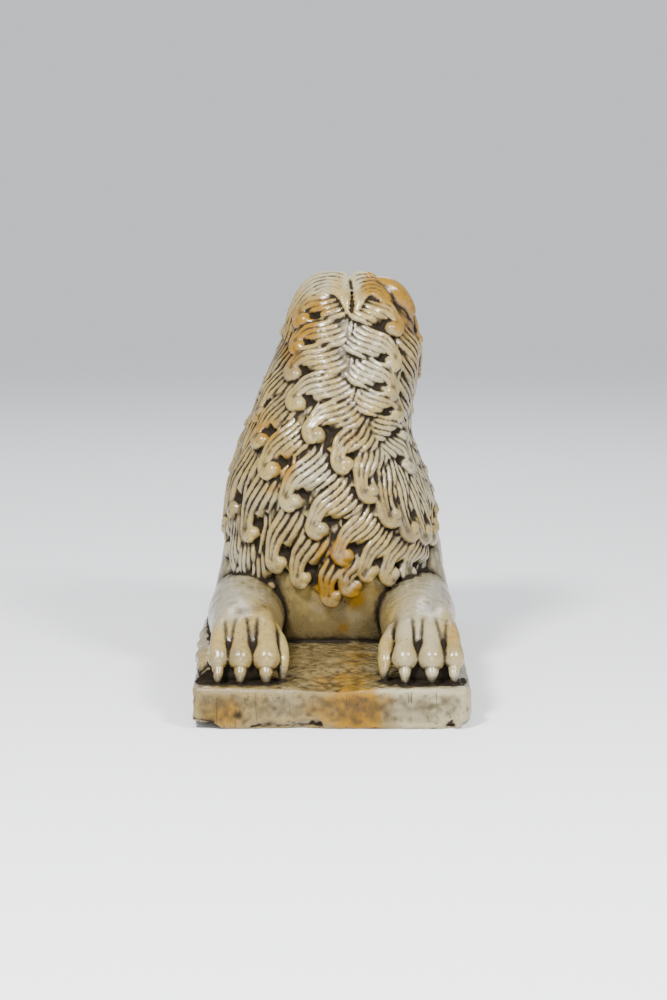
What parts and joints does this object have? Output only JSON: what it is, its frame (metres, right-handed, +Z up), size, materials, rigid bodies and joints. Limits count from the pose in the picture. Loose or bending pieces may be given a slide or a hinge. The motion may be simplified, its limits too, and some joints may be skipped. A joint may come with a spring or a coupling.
{
  "type": "column-bearing lion sculpture",
  "caption": "Recumbent stone lion on a low plinth, head turned back over the body, thick mane of curled locks, round column seat on its back.",
  "frame": {"origin": "middle of the plinth's underside", "axes": "+Z up, the fore paws point along -Y, +X to the viewer's right when seen from the front"},
  "size_m": [0.29, 0.6, 0.455],
  "materials": {
    "marble": "polished, with dark dirt in the grooves"
  },
  "bodies": {
    "root": {"lion": "marble"}
  },
  "joints": []
}
